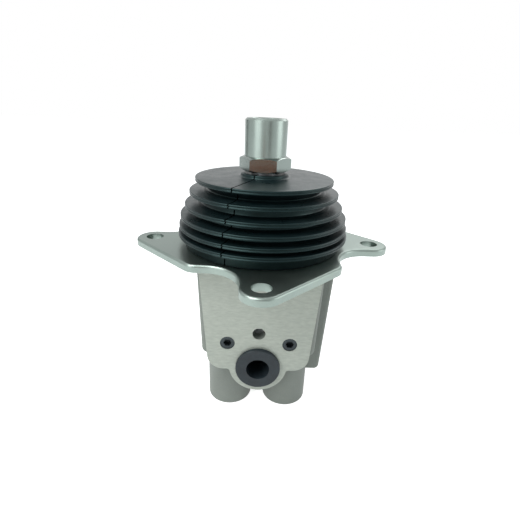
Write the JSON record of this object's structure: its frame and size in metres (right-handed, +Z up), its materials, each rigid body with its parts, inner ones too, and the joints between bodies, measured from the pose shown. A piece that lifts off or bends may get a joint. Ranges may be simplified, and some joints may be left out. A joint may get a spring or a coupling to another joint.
{
  "type": "hydraulic pilot joystick valve",
  "caption": "Hydraulic pilot control valve: a sprung tilting lever with a rubber boot presses pushers that meter pilot pressure to work ports.",
  "frame": {"origin": "centre of the mounting plate's top face, on the lever's axis", "axes": "+Z up the lever, -Y towards the pressure port's face, +X towards the tank port"},
  "size_m": [0.143, 0.143, 0.16],
  "materials": {
    "cast_aluminium": "matt fine casting grain, machined front face",
    "plated_steel": "satin zinc plating",
    "dark_steel": "black oxide",
    "steel": "ground",
    "spring_steel": "drawn wire",
    "bronze": "plain",
    "black_plastic": "moulded satin",
    "boot_rubber": "moulded matt",
    "seal_rubber": "smooth"
  },
  "bodies": {
    "housing": {"casing": "cast_aluminium", "mounting_plate": "plated_steel", "plate_screws": "dark_steel", "gallery_plugs": "dark_steel", "passage_plug": "steel", "pressure_port_insert": "black_plastic", "guide_rings": "seal_rubber", "rod_seals": "seal_rubber", "base_yoke": "steel", "base_bushes": "bronze", "boot": "boot_rubber", "boot_ring": "plated_steel", "guide_bush_1": "steel", "guide_bush_2": "steel", "guide_bush_3": "steel", "guide_bush_4": "steel", "return_spring_1": "spring_steel", "return_spring_2": "spring_steel", "return_spring_3": "spring_steel", "return_spring_4": "spring_steel"},
    "cross": {"journal_cross": "steel"},
    "lever": {"lever_yoke": "steel", "lever_bushes": "bronze", "cam_disc": "steel", "cam_nut": "steel", "lever_nut": "plated_steel", "handle_adapter": "plated_steel"},
    "pusher_body_1": {"pusher_1": "steel", "spring_seat_1": "steel"},
    "spool_body_1": {"spool_1": "steel", "balance_spring_1": "spring_steel"},
    "pusher_body_2": {"pusher_2": "steel", "spring_seat_2": "steel"},
    "spool_body_2": {"spool_2": "steel", "balance_spring_2": "spring_steel"},
    "pusher_body_3": {"pusher_3": "steel", "spring_seat_3": "steel"},
    "spool_body_3": {"spool_3": "steel", "balance_spring_3": "spring_steel"},
    "pusher_body_4": {"pusher_4": "steel", "spring_seat_4": "steel"},
    "spool_body_4": {"spool_4": "steel", "balance_spring_4": "spring_steel"}
  },
  "joints": [
    {"name": "tilt_a", "type": "hinge", "parent": "housing", "child": "cross", "pos_m": [0, 0, 0.0108], "axis": [0.7071, 0.7071, 0], "range_deg": [-19, 19], "stiffness_Nm_per_rad": 4, "deforming": ["boot"]},
    {"name": "tilt_b", "type": "hinge", "parent": "cross", "child": "lever", "pos_m": [0, 0, 0.0108], "axis": [-0.7071, 0.7071, 0], "range_deg": [-19, 19], "stiffness_Nm_per_rad": 4, "deforming": ["boot"]},
    {"name": "pusher_slide_1", "type": "slide", "parent": "housing", "child": "pusher_body_1", "axis": [0, 0, 1], "range_m": [-0.00771, 0.00771], "deforming": ["return_spring_1", "balance_spring_1"]},
    {"name": "spool_slide_1", "type": "slide", "parent": "housing", "child": "spool_body_1", "axis": [0, 0, 1], "range_m": [-0.00272, 0.00272]},
    {"name": "pusher_slide_2", "type": "slide", "parent": "housing", "child": "pusher_body_2", "axis": [0, 0, 1], "range_m": [-0.00771, 0.00771], "deforming": ["return_spring_2", "balance_spring_2"]},
    {"name": "spool_slide_2", "type": "slide", "parent": "housing", "child": "spool_body_2", "axis": [0, 0, 1], "range_m": [-0.00272, 0.00272]},
    {"name": "pusher_slide_3", "type": "slide", "parent": "housing", "child": "pusher_body_3", "axis": [0, 0, 1], "range_m": [-0.00771, 0.00771], "deforming": ["return_spring_3", "balance_spring_3"]},
    {"name": "spool_slide_3", "type": "slide", "parent": "housing", "child": "spool_body_3", "axis": [0, 0, 1], "range_m": [-0.00272, 0.00272]},
    {"name": "pusher_slide_4", "type": "slide", "parent": "housing", "child": "pusher_body_4", "axis": [0, 0, 1], "range_m": [-0.00771, 0.00771], "deforming": ["return_spring_4", "balance_spring_4"]},
    {"name": "spool_slide_4", "type": "slide", "parent": "housing", "child": "spool_body_4", "axis": [0, 0, 1], "range_m": [-0.00272, 0.00272]}
  ],
  "couplings": [
    {"joint": "pusher_slide_1", "follows": "tilt_a", "m_per_rad": -0.02322},
    {"joint": "spool_slide_1", "follows": "tilt_a", "m_per_rad": -0.00814},
    {"joint": "pusher_slide_2", "follows": "tilt_b", "m_per_rad": -0.02322},
    {"joint": "spool_slide_2", "follows": "tilt_b", "m_per_rad": -0.00814},
    {"joint": "pusher_slide_3", "follows": "tilt_a", "m_per_rad": 0.02322},
    {"joint": "spool_slide_3", "follows": "tilt_a", "m_per_rad": 0.00814},
    {"joint": "pusher_slide_4", "follows": "tilt_b", "m_per_rad": 0.02322},
    {"joint": "spool_slide_4", "follows": "tilt_b", "m_per_rad": 0.00814}
  ]
}
